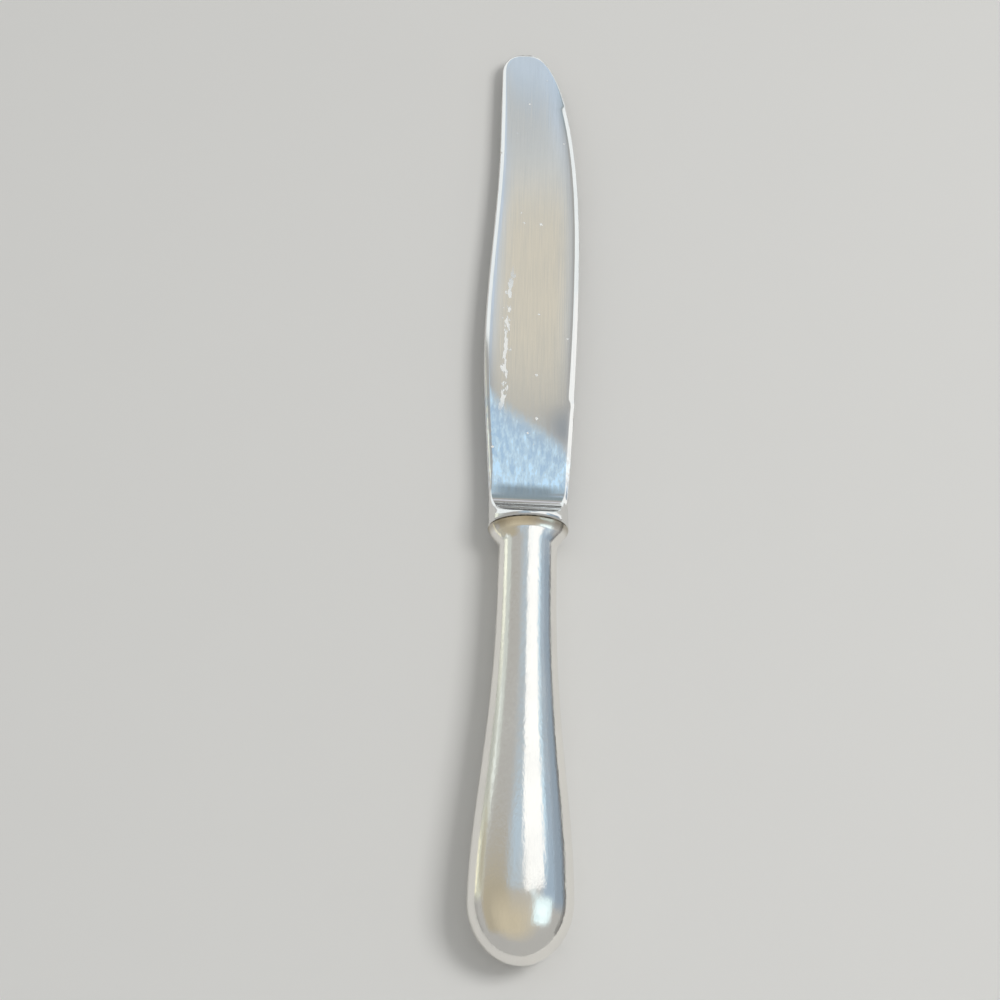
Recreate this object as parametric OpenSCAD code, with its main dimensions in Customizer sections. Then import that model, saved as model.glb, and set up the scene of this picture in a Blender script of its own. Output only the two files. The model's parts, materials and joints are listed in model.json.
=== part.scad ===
// Dinner knife with a hollow handle, as it lies on a table.
// Blade, bolster and tang are one forging with ground faces. The handle is two pressed half
// shells, soldered along a seam, filled with cement round the tang and soldered to the bolster.
// Everything is drawn about the knife's own axis: Y runs along it with the tip at +Y and the
// bolster's joint at Y = 0, the cutting edge is at +X, and the blade's middle plane is Z = 0.
// laid_on_table() then sets the knife down on Z = 0, where its bolster and the handle's bulb touch,
// so that the blade is clear of the table.

/* [Blade outline] */
// Length from the bolster's joint to the tip
blade_len = 140.5; // [128:0.5:160]
// Furthest reach of the spine from the knife's axis
spine_belly = 11.2; // [10:0.1:12.4]
// Distance of that reach from the joint
spine_belly_at = 50.5; // [40:0.5:60]
// Distance of the spine from the axis near the tip
spine_tip = 8.8; // [8:0.1:10]
// Length of the straight spine behind the tip
spine_straight = 28; // [20:1:36]
// Reach of the cutting edge from the axis at the bolster
edge_heel = 8.7; // [8:0.1:9]
// Distance from the joint at which the edge starts to reach further
edge_heel_at = 5.5; // [2:0.5:10]
// Furthest reach of the cutting edge from the axis
edge_belly = 10.9; // [10:0.1:12.4]
// Distance of that reach from the joint
edge_belly_at = 74.5; // [64:0.5:84]
// Distance of the tip's foremost point from the axis, towards the spine
nose_offset = 3.2; // [2:0.1:4.5]
// Length of the rounding between the spine and the tip
nose_len = 6; // [5:0.5:9]
// Fullness of the tip's rounding, where 2 is an ellipse
nose_power = 2.25; // [2:0.05:2.6]

/* [Blade section] */
// Thickness of the spine at the bolster
spine_base_t = 2.6; // [2.2:0.1:3.2]
// Thickness of the spine at the tip
spine_tip_t = 1.5; // [1.2:0.1:2]
// Thickness at the cutting edge's side at the bolster
edge_base_t = 1.3; // [1.1:0.1:1.8]
// Width of the spine's rounding before the faces are ground
spine_round = 2.2; // [1.6:0.1:3]
// Width of the bevel before the faces are ground
bevel_w = 1.5; // [1:0.1:2.4]
// Thickness of the sharpened edge
keen_t = 0.1; // [0.06:0.02:0.2]
// Thickness of the blunt edge by the bolster and at the tip
blunt_t = 0.7; // [0.4:0.05:0.8]
// Length of blunt edge by the bolster
heel_len = 33.5; // [25:0.5:45]
// Length of blunt edge at the tip
blunt_tip_len = 16; // [10:1:24]
// Depth that sharpening took off the outline
sharpen_depth = 0.18; // [0.05:0.01:0.3]
// Metal that grinding takes off each face
stock = 0.25; // [0.15:0.05:0.4]

/* [Bolster and tang] */
// Length of the bolster's band behind the ground face, on its top
land_len = 0.8; // [0.6:0.1:2]
// Radius of the hollow that runs from the blade's face up to the bolster
cove_r = 9; // [8:0.5:13]
// Length over which the bolster's oval becomes the blade's section, on the spine's side
spine_blend = 16; // [13:0.5:20]
// The same length on the cutting edge's side
edge_blend = 6.5; // [4:0.5:10]
// Length of the tang inside the handle
tang_len = 62; // [45:1:75]
// Width of the tang at the bolster
tang_w = 8.4; // [6:0.2:9]
// Width of the tang at its end
tang_end_w = 5; // [4:0.2:6]
// Thickness of the tang
tang_t = 3.6; // [2.5:0.1:4.5]
// Radius of the nicks that key the tang into the cement
nick_r = 0.8; // [0.5:0.1:1]
// Nicks along each side of the tang
nick_count = 4; // [2:1:5]

/* [Handle] */
// Length of the handle from its mouth to its end
handle_len = 105.5; // [96:0.5:120]
// Width of the collar at the handle's mouth, and of the bolster
collar_w = 18.1; // [16:0.1:19.6]
// Thickness of the collar, and of the bolster
collar_t = 11.8; // [10.6:0.1:13]
// Length over which the collar narrows to the neck
collar_len = 5.2; // [4:0.2:8]
// Width of the neck
neck_w = 13.1; // [12:0.1:14.6]
// Thickness of the neck
neck_t = 10; // [9:0.1:11]
// Width of the bulb at the handle's end
bulb_w = 22.4; // [20:0.1:25]
// Thickness of the bulb
bulb_t = 15; // [13:0.1:17]
// Length of the rounded end beyond the widest point
bulb_end_len = 14; // [11:0.5:18]
// Distance from the mouth at which the neck starts to swell
swell_from = 7.5; // [5:0.5:15]
// How late the swelling comes, where 1 is even
swell_lag = 1.4; // [1:0.05:1.8]
// Wall of the pressed shells
shell_wall = 0.6; // [0.4:0.05:0.9]

/* [Solder] */
// Thickness of the solder along the handle's seam
seam_t = 0.12; // [0.08:0.02:0.2]
// Thickness of the solder between bolster and handle
joint_t = 0.3; // [0.2:0.05:0.5]
// Bevel on the two rims that meet at that joint
rim_bevel = 0.3; // [0.15:0.05:0.35]
// Depth by which polishing leaves the solder below the surface
solder_recess = 0.06; // [0.02:0.02:0.1]

/* [Hidden] */

steel = "gainsboro";
silver = "silver";
solder = "darkgray";
cement = "tan";

// Steps of the lofts: round a half shell, along the collar, along the swell and round the bulb
half_steps = 18;
collar_steps = 7;
swell_steps = 22;
bulb_steps = 9;
// Steps along the bolster, the blade and its tip, and points of its bevel, crown and spine
bolster_steps = 16;
blade_steps = 28;
nose_steps = 8;
bevel_points = 5;
crown_points = 5;
spine_points = 7;
// How closely the steps along the bolster crowd towards its joint, where 1 is even
bolster_crowding = 1.5;
// Angle of the bolster's oval that its two sides take up
oval_side = 40;
// Least angle of the bolster's oval, which leaves the blade's edge two corners there
oval_start = 5;
// Most of the blade's width that its bevel or its rounding takes where the tip narrows
side_share = 1 / 3;
// Length over which the sharpened edge runs out
runout = 2;
// Length of the tang that reaches into the bolster
tang_root = 2;
// Margin by which cutters pass through what they cut
beyond = 10;

spine_tip_at = blade_len - spine_straight;
nose_from = blade_len - nose_len;
bulb_at = handle_len - bulb_end_len;

function mix(a, b, u) = a + (b - a) * u;
function unit(u) = min(1, max(0, u));
function smooth(u) = let (v = unit(u)) v * v * (3 - 2 * v);
function bulge(u, power) = pow(1 - pow(unit(u), power), 1 / power);

// Outline of the blade: x of the spine and of the cutting edge, s from the joint
function spine_x(s) =
    s < spine_belly_at ? -mix(collar_w / 2, spine_belly, smooth(s / spine_belly_at))
  : s < nose_from ? -mix(spine_belly, spine_tip,
                         smooth((s - spine_belly_at) / (spine_tip_at - spine_belly_at)))
  : -mix(nose_offset, spine_tip, bulge((s - nose_from) / nose_len, nose_power));

function keen(s) = smooth((s - heel_len) / runout) * smooth((blade_len - blunt_tip_len - s) / runout);

function edge_x(s) = (
    s < edge_belly_at ? mix(edge_heel, edge_belly,
                            sin(90 * unit((s - edge_heel_at) / (edge_belly_at - edge_heel_at))))
  : mix(-nose_offset, edge_belly,
        bulge((s - edge_belly_at) / (blade_len - edge_belly_at), nose_power))
) - sharpen_depth * keen(s);

// Ground face: a plane that falls towards the edge and the tip, and ends in the cove
base_h = (spine_base_t + edge_base_t) / 4;
cove_rise = collar_t / 2 - base_h;
cove_end = land_len + sqrt(pow(cove_r, 2) - pow(cove_r - cove_rise, 2));
fall_x = (spine_base_t - edge_base_t) / 2 / collar_w;
fall_s = (spine_base_t - spine_tip_t) / 2 / (blade_len - cove_end);
function ground_h(x, s) = base_h - fall_x * x - fall_s * (s - cove_end);

// Section of the bolster and of the blade, each from the edge over the top to the spine
section_angles = concat(
    [for (i = [0 : bevel_points - 1]) mix(oval_start, oval_side, i / (bevel_points - 1))],
    [for (i = [1 : crown_points]) mix(oval_side, 180 - oval_side, i / (crown_points + 1))],
    [for (i = [0 : spine_points - 1]) mix(180 - oval_side, 180, i / (spine_points - 1))]
);

function oval_half(a, b) = [for (q = section_angles) [a * cos(q), b * sin(q)]];

function blade_half(s) =
    let (
        xs = spine_x(s),
        xe = edge_x(s),
        round_w = min(spine_round, (xe - xs) * side_share),
        bevel = min(bevel_w, (xe - xs) * side_share),
        end_fall = bulge(1 - (blade_len - s) / spine_round, 2),
        spine_h = (ground_h(xs + round_w, s) + stock) * end_fall,
        bevel_h = (ground_h(xe - bevel, s) + stock) * end_fall,
        edge_h = min(mix(blunt_t, keen_t, keen(s)) / 2, bevel_h)
    )
    concat(
        [for (i = [0 : bevel_points - 1])
            let (u = i / (bevel_points - 1)) [xe - bevel * u, mix(edge_h, bevel_h, u)]],
        [for (i = [1 : crown_points])
            let (u = i / (crown_points + 1))
                [mix(xe - bevel, xs + round_w, u), mix(bevel_h, spine_h, u)]],
        [for (i = [0 : spine_points - 1])
            let (q = 90 * i / (spine_points - 1))
                [xs + round_w * (1 - sin(q)), spine_h * cos(q)]]
    );

function forging_half(s, inset) =
    let (
        at_edge = smooth((s - land_len) / edge_blend),
        at_spine = smooth((s - land_len) / spine_blend),
        oval = oval_half(collar_w / 2 - inset, collar_t / 2 - inset),
        flat = blade_half(s),
        last = len(flat) - 1
    )
    [for (i = [0 : last]) mix(oval[i], flat[i], mix(at_edge, at_spine, i / last))];

// A ring of points from a half section: over the top, then back below
function whole_ring(half, y) = concat(
    [for (p = half) [p.x, y, p.y]],
    [for (i = [len(half) - 2 : -1 : 0]) [half[i].x, y, -half[i].y]]
);

forging_stations = concat(
    [[0, rim_bevel], [rim_bevel, 0]],
    [for (i = [0 : bolster_steps - 1])
        [mix(land_len, land_len + spine_blend, pow(i / bolster_steps, bolster_crowding)), 0]],
    [for (i = [0 : blade_steps - 1])
        [mix(land_len + spine_blend, nose_from, i / blade_steps), 0]],
    [for (i = [0 : nose_steps - 1])
        [nose_from + nose_len * pow(sin(90 * i / nose_steps), 2 / nose_power), 0]]
);

// Closed solid through rings of points, with a flat first end and a point at the last.
// The quads of a ring's second half are split the other way, so that both halves are mirror images.
module loft(rings, tip) {
    count = len(rings[0]);
    half = floor(count / 2);
    last = len(rings) - 1;
    polyhedron(
        points = concat([for (ring = rings) each ring], [tip]),
        faces = concat(
            [[for (j = [count - 1 : -1 : 0]) j]],
            [for (i = [0 : last - 1], j = [0 : count - 1])
                let (a = i * count + j, b = i * count + (j + 1) % count, c = a + count, d = b + count)
                    each j < half ? [[a, b, d], [a, d, c]] : [[a, b, c], [b, d, c]]],
            [for (j = [0 : count - 1])
                [last * count + j, last * count + (j + 1) % count, (last + 1) * count]]
        )
    );
}

module forging() {
    loft([for (st = forging_stations) whole_ring(forging_half(st[0], st[1]), st[0])],
         [-nose_offset, blade_len, 0]);
}

module tang() {
    difference() {
        linear_extrude(height = tang_t, center = true)
            polygon([
                [tang_w / 2, tang_root], [-tang_w / 2, tang_root],
                [-tang_end_w / 2, -tang_len], [tang_end_w / 2, -tang_len]
            ]);
        for (i = [1 : nick_count], side = [-1, 1])
            let (u = i / (nick_count + 1))
                translate([side * mix(tang_w, tang_end_w, u) / 2, -tang_len * u, 0])
                    cylinder(r = nick_r, h = tang_t + beyond, center = true, $fn = 32);
    }
}

// What grinding takes off the upper face: all above the plane, ending in the cove's radius
module ground_away() {
    lean = atan(fall_x);
    translate([0, cove_end, base_h])
        rotate([-atan(fall_s * cos(lean)), lean, 0])
            rotate([90, 0, 90])
                linear_extrude(height = 2 * (spine_belly + edge_belly), center = true)
                    union() {
                        square([blade_len, 2 * cove_r]);
                        translate([0, cove_r]) circle(r = cove_r, $fn = 96);
                    }
}

module blade() {
    color(steel)
        laid_on_table()
            difference() {
                union() {
                    forging();
                    tang();
                }
                ground_away();
                mirror([0, 0, 1]) ground_away();
            }
}

// Handle profile: half width and half thickness at a distance s from the mouth
function swell(s) = smooth(pow(unit((s - swell_from) / (bulb_at - swell_from)), swell_lag));
function handle_half(s, collar, neck, bulb) =
    mix(neck, bulb, swell(s)) / 2 + (collar - neck) / 2 * (1 - smooth(s / collar_len));

// Stations of a handle surface as [y, half width, half thickness], inset from the outside
function handle_stations(inset) = concat(
    [for (i = [0 : collar_steps + swell_steps - 1])
        let (s = i < collar_steps ? collar_len * i / collar_steps
                                  : mix(collar_len, bulb_at, (i - collar_steps) / swell_steps))
            [-joint_t - s,
             handle_half(s, collar_w, neck_w, bulb_w) - inset,
             handle_half(s, collar_t, neck_t, bulb_t) - inset]],
    [for (i = [0 : bulb_steps - 1])
        let (q = 90 * i / bulb_steps)
            [-joint_t - bulb_at - (bulb_end_len - inset) * sin(q),
             (bulb_w / 2 - inset) * cos(q), (bulb_t / 2 - inset) * cos(q)]]
);
function handle_end(inset) = -joint_t - handle_len + inset;

// The outside has a bevelled rim at its mouth
function outer_stations() =
    let (all = handle_stations(0), rim = all[0])
        concat([rim - [0, rim_bevel, rim_bevel], rim - [rim_bevel, 0, 0]],
               [for (i = [1 : len(all) - 1]) all[i]]);
// The inside keeps as many stations, so that each outer ring has an inner one
function inner_stations() =
    let (all = handle_stations(shell_wall), mouth = all[0])
        concat([mouth, mouth - [rim_bevel, 0, 0]], [for (i = [1 : len(all) - 1]) all[i]]);

// Upper half of a ring, which stops at the seam's solder
function half_ring(st) = [
    for (j = [0 : half_steps])
        let (q = 180 * j / half_steps)
            [st[1] * cos(q), st[0], max(st[2] * sin(q), seam_t / 2)]
];

module half_shell() {
    outer = outer_stations();
    inner = inner_stations();
    last = len(outer) - 1;
    row = half_steps + 1;
    inside = len(outer) * row;
    tips = 2 * inside;
    polyhedron(
        points = concat(
            [for (st = outer) each half_ring(st)],
            [for (st = inner) each half_ring(st)],
            [[0, handle_end(0), seam_t / 2], [0, handle_end(shell_wall), seam_t / 2]]
        ),
        faces = concat(
            // outer and inner skins
            [for (i = [0 : last - 1], j = [0 : half_steps - 1])
                let (a = i * row + j, b = a + row, c = inside + a, d = inside + b)
                    each [[a, b, b + 1], [a, b + 1, a + 1], [c, d + 1, d], [c, c + 1, d + 1]]],
            // rounded ends of both skins
            [for (j = [0 : half_steps - 1])
                let (a = last * row + j, c = inside + a)
                    each [[a, tips, a + 1], [c, c + 1, tips + 1]]],
            // mouth
            [for (j = [0 : half_steps - 1])
                each [[j, j + 1, inside + j + 1], [j, inside + j + 1, inside + j]]],
            // two edges that lie on the seam's solder
            [for (i = [0 : last - 1])
                let (a = i * row, b = a + row, c = inside + a, d = inside + b)
                    each [[a, c, d], [a, d, b],
                          [a + half_steps, b + half_steps, d + half_steps],
                          [a + half_steps, d + half_steps, c + half_steps]]],
            let (a = last * row, c = inside + a)
                [[a, c, tips + 1], [a, tips + 1, tips],
                 [a + half_steps, tips, tips + 1], [a + half_steps, tips + 1, c + half_steps]]
        )
    );
}

module handle_front() {
    color(silver) laid_on_table() half_shell();
}

module handle_back() {
    color(silver) laid_on_table() mirror([0, 0, 1]) half_shell();
}

function full_ring(st) = [
    for (j = [0 : 2 * half_steps - 1])
        let (q = 180 * j / half_steps) [st[1] * cos(q), st[0], st[2] * sin(q)]
];

module handle_filling() {
    color(cement)
        laid_on_table()
            difference() {
                mirror([0, 1, 0])
                    loft([for (st = inner_stations()) full_ring([-st[0], st[1], st[2]])],
                         [0, -handle_end(shell_wall), 0]);
                tang();
            }
}

// Outline of the handle in the seam's plane, down one side and up the other
function seam_outline(stations, end, inset) = concat(
    [for (st = stations) [st[1] - inset, st[0]]],
    [[0, end + inset]],
    [for (i = [len(stations) - 1 : -1 : 0]) [inset - stations[i][1], stations[i][0]]]
);

module seam_solder() {
    outside = seam_outline(outer_stations(), handle_end(0), solder_recess);
    inside = seam_outline(inner_stations(), handle_end(shell_wall), 0);
    color(solder)
        laid_on_table()
            linear_extrude(height = seam_t, center = true)
                polygon(concat(outside, [for (i = [len(inside) - 1 : -1 : 0]) inside[i]]));
}

module neck_solder() {
    inset = rim_bevel + solder_recess;
    rim = full_ring([0, collar_w / 2 - inset, collar_t / 2 - inset]);
    color(solder)
        laid_on_table()
            difference() {
                rotate([90, 0, 0])
                    linear_extrude(height = joint_t)
                        polygon([for (p = rim) [p.x, p.z]]);
                tang();
            }
}

// Resting pose: the lean of the line from under the bolster's band that just touches the bulb
rest_h = collar_t / 2;
lie = max([for (st = outer_stations()) atan((st[2] - rest_h) / (land_len - st[0]))]);

module laid_on_table() {
    middle = (blade_len - handle_len - joint_t) / 2;
    translate([0, -middle * cos(lie), land_len * sin(lie) + rest_h * cos(lie)])
        rotate([-lie, 0, 0])
            children();
}

blade();
handle_front();
handle_back();
handle_filling();
seam_solder();
neck_solder();
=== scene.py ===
import json
import math

import bmesh
import bpy
from mathutils import Matrix, Vector


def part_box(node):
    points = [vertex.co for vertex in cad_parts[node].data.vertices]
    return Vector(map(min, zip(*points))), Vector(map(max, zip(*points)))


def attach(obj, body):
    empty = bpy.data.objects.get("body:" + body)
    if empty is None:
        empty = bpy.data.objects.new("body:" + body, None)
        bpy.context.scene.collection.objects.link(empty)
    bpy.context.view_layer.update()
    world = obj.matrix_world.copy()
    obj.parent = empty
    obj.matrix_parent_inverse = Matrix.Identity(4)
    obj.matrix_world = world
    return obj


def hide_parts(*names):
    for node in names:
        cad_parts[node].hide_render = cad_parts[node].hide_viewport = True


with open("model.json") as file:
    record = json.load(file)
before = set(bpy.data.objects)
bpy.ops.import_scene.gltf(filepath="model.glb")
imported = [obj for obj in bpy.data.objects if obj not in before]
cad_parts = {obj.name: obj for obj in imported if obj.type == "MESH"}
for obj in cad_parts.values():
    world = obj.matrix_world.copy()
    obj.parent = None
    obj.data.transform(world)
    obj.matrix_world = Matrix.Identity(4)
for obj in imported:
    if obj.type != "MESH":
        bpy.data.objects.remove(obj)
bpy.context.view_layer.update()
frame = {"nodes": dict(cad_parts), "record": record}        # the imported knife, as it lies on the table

mm = 0.001
halvings = 44            # steps that find where a curve crosses zero
creaseAngle = 32         # degrees; what bends less is shaded smooth


def mix(a, b, u):
    return a + (b - a) * u


def unit(u):
    return min(1.0, max(0.0, u))


def smooth(u):
    v = unit(u)
    return v * v * (3 - 2 * v)


def bulge(u, power):
    return (1 - unit(u) ** power) ** (1 / power)


def crossing(gap, low, high):
    # gap is below zero at low and above zero at high
    for _ in range(halvings):
        middle = (low + high) / 2
        if gap(middle) < 0:
            low = middle
        else:
            high = middle
    return (low + high) / 2


def startClean():
    if bpy.context.mode != "OBJECT":
        bpy.ops.object.mode_set(mode="OBJECT")
    bpy.ops.object.select_all(action="DESELECT")


def takeUp(piece):
    startClean()
    piece.select_set(True)
    bpy.context.view_layer.objects.active = piece


# The pieces are modelled about the knife's own axis: Y along it, 0 at the bolster's joint,
# tip at +Y, cutting edge at +X. The CAD's solder ring and grip mount say where that axis lies.
grip = next(m for m in frame["record"]["mounts"] if m["name"] == "handle_grip")
lean = math.asin(grip["axis"][2])
solderLow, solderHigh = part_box("neck_solder")
jointGap = 0.3           # thickness of the solder between bolster and handle, mm
turned = Matrix.Rotation(-lean, 4, "X")
jointPlace = (solderLow + solderHigh) / 2 + turned @ Vector((0, jointGap / 2 * mm, 0))


def layOnTable(piece):
    takeUp(piece)
    piece.rotation_euler = (-lean, 0, 0)
    piece.location = jointPlace
    bpy.ops.object.transform_apply(location=True, rotation=True, scale=True)


def smoothShade(piece):
    takeUp(piece)
    bpy.ops.object.shade_smooth_by_angle(angle=math.radians(creaseAngle))


# Blade, bolster and tang

blade = {
    "length": 140.5,         # joint to tip, all in mm
    "spineBelly": 11.2,
    "spineBellyAt": 50.5,
    "spineTip": 8.8,
    "spineStraight": 28.0,
    "edgeHeel": 8.7,
    "edgeHeelAt": 5.5,
    "edgeBelly": 10.9,
    "edgeBellyAt": 74.5,
    "noseOffset": 3.2,
    "noseLength": 6.0,
    "nosePower": 2.25,
    "spineBase": 2.6,        # thicknesses
    "spineEnd": 1.5,
    "edgeBase": 1.3,
    "spineRound": 2.2,
    "bevelWidth": 1.5,
    "sideShare": 1 / 3,      # at the nose, rounding and bevel take at most this much of the width
    "keenEdge": 0.1,
    "bluntEdge": 0.7,
    "heelLength": 33.5,      # blunt edge by the bolster and at the tip
    "bluntTip": 16.0,
    "runout": 2.0,
    "sharpenDepth": 0.18,
    "stock": 0.25,           # metal that grinding took off
    "crown": 0.1,            # polishing leaves the face this much higher along its middle
    "crownFade": 25.0,
    "crownPower": 4,
    "bolsterWidth": 18.1,
    "bolsterThick": 11.8,
    "land": 0.8,             # band behind the ground face
    "coveRadius": 9.0,
    "spineBlend": 16.0,
    "edgeBlend": 6.5,
    "joinSoft": 0.06,        # share of a section over which its stretches pass into each other
    "jointBevel": 0.3,
    "coveEase": 1.8,         # polishing draws the hollow's start out over this length
    "rimSoft": 0.4,          # polished rounding of the ground face's rim, at the bolster
    "faceSoft": 0.2,         # and along the blade
    "softFrom": 3.0,         # the one passes into the other from here, over this length
    "softOver": 9.0,
    "tangLength": 62.0,
    "tangWidth": 8.4,
    "tangEnd": 5.0,
    "tangThick": 3.6,
    "columns": 26,           # of the ground face's mesh
    "bolsterRows": 46,
    "bladeRows": 104,
    "noseRows": 36,
    "rowStops": (22, 124, 138),      # about where those rows end
    "rowCrowding": 1.25,     # rows lie closer together towards the joint
    "coveSpread": 0.1,       # shares of the face that follow the rim's curve at its two ends
    "noseSpread": 0.03,
    "softSteps": (0.25, 0.5, 0.75, 1.0),
    "bandSteps": (0.3, 0.56, 0.8, 1.0),
    "softProbe": 0.02,       # share of a side that shows how fast the side runs out
    "softLimit": 0.45,       # most of a side that the soft rim takes
    "weld": 0.0005,
    "mirrorWeld": 0.001,
}
edgeFace = 0.04              # share of a section's points on the edge's own thickness
bevelEnd = mix(edgeFace, 1, 0.25)
spineStart = mix(edgeFace, 1, 0.625)
ovalSide = 40                # degrees of the bolster's oval beside the bevel and the spine
ovalStart = 5

noseFrom = blade["length"] - blade["noseLength"]
spineTipAt = blade["length"] - blade["spineStraight"]
baseHalf = (blade["spineBase"] + blade["edgeBase"]) / 4
coveRise = blade["bolsterThick"] / 2 - baseHalf
coveEnd = blade["land"] + math.sqrt(blade["coveRadius"] ** 2 - (blade["coveRadius"] - coveRise) ** 2)
fallAcross = (blade["spineBase"] - blade["edgeBase"]) / 2 / blade["bolsterWidth"]
fallAlong = (blade["spineBase"] - blade["spineEnd"]) / 2 / (blade["length"] - coveEnd)

# below, s is mm from the joint towards the tip,
# and w the place round half a section: 0 at the edge, 1 at the spine


def spineX(s):
    belly, tip = blade["spineBelly"], blade["spineTip"]
    if s < blade["spineBellyAt"]:
        return -mix(blade["bolsterWidth"] / 2, belly, smooth(s / blade["spineBellyAt"]))
    if s < noseFrom:
        along = (s - blade["spineBellyAt"]) / (spineTipAt - blade["spineBellyAt"])
        return -mix(belly, tip, smooth(along))
    along = (s - noseFrom) / blade["noseLength"]
    return -mix(blade["noseOffset"], tip, bulge(along, blade["nosePower"]))


def keen(s):
    fromHeel = smooth((s - blade["heelLength"]) / blade["runout"])
    return fromHeel * smooth((blade["length"] - blade["bluntTip"] - s) / blade["runout"])


def edgeX(s):
    heelAt, bellyAt = blade["edgeHeelAt"], blade["edgeBellyAt"]
    if s < bellyAt:
        along = unit((s - heelAt) / (bellyAt - heelAt))
        x = mix(blade["edgeHeel"], blade["edgeBelly"], math.sin(math.pi / 2 * along))
    else:
        along = (s - bellyAt) / (blade["length"] - bellyAt)
        x = mix(-blade["noseOffset"], blade["edgeBelly"], bulge(along, blade["nosePower"]))
    return x - blade["sharpenDepth"] * keen(s)


def planeZ(x, s):
    return baseHalf - fallAcross * x - fallAlong * (s - coveEnd)


def crownZ(x, s):
    left, right = spineX(s), edgeX(s)
    off = unit(abs(2 * x - left - right) / (right - left))
    fade = smooth((s - coveEnd) / blade["crownFade"]) * smooth((blade["length"] - s) / blade["crownFade"])
    return blade["crown"] * fade * (1 - off ** blade["crownPower"])


def groundZ(x, s):
    reach = (coveEnd - s + math.hypot(coveEnd - s, blade["coveEase"])) / 2
    hollow = blade["coveRadius"] - math.sqrt(blade["coveRadius"] ** 2 - reach ** 2)
    return planeZ(x, s) + crownZ(x, s) + hollow


def eased(curve, w):
    # a curve of several stretches, without a crease where two of them meet
    soft = blade["joinSoft"]
    for join in (bevelEnd, spineStart):
        off = (w - join) / soft
        if abs(off) < 1:
            u = (off + 1) / 2
            near = zip(curve(join - soft), curve(join), curve(join + soft))
            return [mix(mix(first, corner, u), mix(corner, last, u), u) for first, corner, last in near]
    return curve(w)


def ovalAngle(w):
    if w < edgeFace:
        return [ovalStart * w / edgeFace]
    if w < bevelEnd:
        return [mix(ovalStart, ovalSide, (w - edgeFace) / (bevelEnd - edgeFace))]
    if w < spineStart:
        return [mix(ovalSide, 180 - ovalSide, (w - bevelEnd) / (spineStart - bevelEnd))]
    return [mix(180 - ovalSide, 180, (w - spineStart) / (1 - spineStart))]


def ovalPoint(w):
    q = math.radians(eased(ovalAngle, w)[0])
    return blade["bolsterWidth"] / 2 * math.cos(q), blade["bolsterThick"] / 2 * math.sin(q)


def flatPoint(s, w):
    left, right = spineX(s), edgeX(s)
    most = (right - left) * blade["sideShare"]
    rounding = min(blade["spineRound"], most)
    bevel = min(blade["bevelWidth"], most)
    endFall = bulge(1 - (blade["length"] - s) / blade["spineRound"], 2)
    spineHalf = (planeZ(left + rounding, s) + blade["stock"]) * endFall
    bevelHalf = (planeZ(right - bevel, s) + blade["stock"]) * endFall
    edgeHalf = min(mix(blade["bluntEdge"], blade["keenEdge"], keen(s)) / 2, bevelHalf)
    if w < edgeFace:
        return right, edgeHalf * w / edgeFace
    if w < bevelEnd:
        u = (w - edgeFace) / (bevelEnd - edgeFace)
        return right - bevel * u, mix(edgeHalf, bevelHalf, u)
    if w < spineStart:
        u = (w - bevelEnd) / (spineStart - bevelEnd)
        return mix(right - bevel, left + rounding, u), mix(bevelHalf, spineHalf, u)
    q = math.pi / 2 * (w - spineStart) / (1 - spineStart)
    return left + rounding * (1 - math.sin(q)), spineHalf * math.cos(q)


def forgedPoint(s, w):
    # the forging before it is ground: the bolster's oval runs out into the blade's section
    atEdge = smooth((s - blade["land"]) / blade["edgeBlend"])
    atSpine = smooth((s - blade["land"]) / blade["spineBlend"])
    u = mix(atEdge, atSpine, max(0.0, (w - edgeFace) / (1 - edgeFace)))
    oval, flat = ovalPoint(w), eased(lambda at: flatPoint(s, at), w)
    return mix(oval[0], flat[0], u), mix(oval[1], flat[1], u)


def onForging(rim, target, step):
    s, w = mix(rim[0], target[0], step), mix(rim[1], target[1], step)
    x, z = forgedPoint(s, w)
    return Vector((x, s, z))


def stockOver(s, w):
    x, z = forgedPoint(s, w)
    return z - groundZ(x, s)


def rimAlong(w):
    return crossing(lambda s: stockOver(s, w), 0, coveEnd)


def rimNose(w):
    return crossing(lambda s: -stockOver(s, w), blade["length"] - blade["spineRound"], blade["length"])


def rowShares():
    # rows close together over the bolster and round the nose
    bolster, along, nose = (blade[key] for key in ("bolsterRows", "bladeRows", "noseRows"))
    bolsterStop, bladeStop, noseStop = blade["rowStops"]
    stops = [mix(0, bolsterStop, (j / bolster) ** blade["rowCrowding"]) for j in range(bolster)]
    stops += [mix(bolsterStop, bladeStop, j / along) for j in range(along)]
    stops += [mix(bladeStop, noseStop, math.sin(math.pi / 2 * j / nose)) for j in range(nose + 1)]
    return [stop / stops[-1] for stop in stops]


def findRims(shares):
    # rim of the ground face, along the hollow, the edge, the nose and the spine: its places on the
    # forging, each with the place at the joint or on the middle line where its side ends
    columns, rows = blade["columns"], len(shares) - 1
    spineLow, edgeLow = rimAlong(spineStart), rimAlong(bevelEnd)
    spineTop, edgeTop = rimNose(spineStart), rimNose(bevelEnd)
    start, end = blade["jointBevel"], blade["length"]
    rims = {}
    for i in range(columns + 1):
        w = mix(spineStart, bevelEnd, i / columns)
        rims[i, 0] = ((rimAlong(w), w), (start, 1 - i / columns))
    for j in range(1, rows):
        s = mix(edgeLow, edgeTop, shares[j])
        w = crossing(lambda w: stockOver(s, w), 0, bevelEnd)
        rims[columns, j] = ((s, w), (mix(start, end, shares[j]), 0.0))
    for i in range(columns, -1, -1):
        w = mix(spineStart, bevelEnd, i / columns)
        rims[i, rows] = ((rimNose(w), w), (end, w))
    for j in range(rows - 1, 0, -1):
        s = mix(spineLow, spineTop, shares[j])
        w = crossing(lambda w: -stockOver(s, w), spineStart, 1)
        rims[0, j] = ((s, w), (mix(start, end, shares[j]), 1.0))
    return rims


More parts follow.
